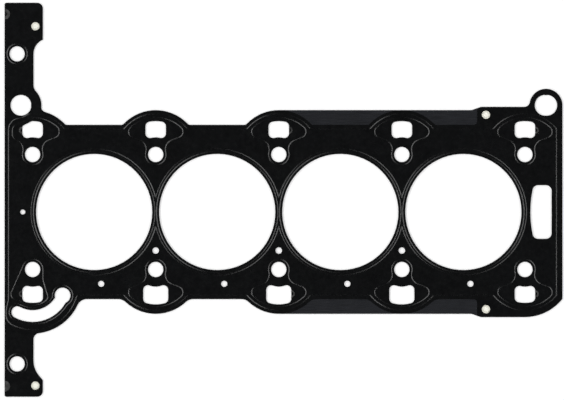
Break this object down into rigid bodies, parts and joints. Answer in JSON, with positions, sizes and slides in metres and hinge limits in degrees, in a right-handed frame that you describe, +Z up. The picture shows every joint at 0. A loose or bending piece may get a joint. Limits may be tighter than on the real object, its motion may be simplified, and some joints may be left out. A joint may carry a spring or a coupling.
{
  "type": "cylinder head gasket",
  "caption": "Flat multi-layer steel cylinder head gasket with round bores in a row, pressed sealing beads, bolt holes, dowel holes and coolant passages, and two long end arms.",
  "frame": {"origin": "centre of the head-bolt grid, in the plane that the gasket lies on", "axes": "+X along the row of cylinders, away from the two long arms; +Y across the row, towards the arm with the outline's dowel ears; +Z up, through the sheets from the block's side to the head's side"},
  "size_m": [0.3581, 0.2529, 0.0014],
  "materials": {
    "coated_steel": "satin",
    "bare_steel": "satin",
    "stopper_steel": "satin",
    "rivet_metal": "satin"
  },
  "bodies": {
    "root": {"upper_bead_layer": "coated_steel", "lower_bead_layer": "coated_steel", "carrier_layer": "bare_steel", "stopper_ring_1": "stopper_steel", "stopper_ring_2": "stopper_steel", "stopper_ring_3": "stopper_steel", "stopper_ring_4": "stopper_steel", "rivet_upper_arm": "rivet_metal", "rivet_lower_arm": "rivet_metal", "rivet_upper_tab": "rivet_metal", "rivet_lower_tab": "rivet_metal"}
  },
  "joints": []
}
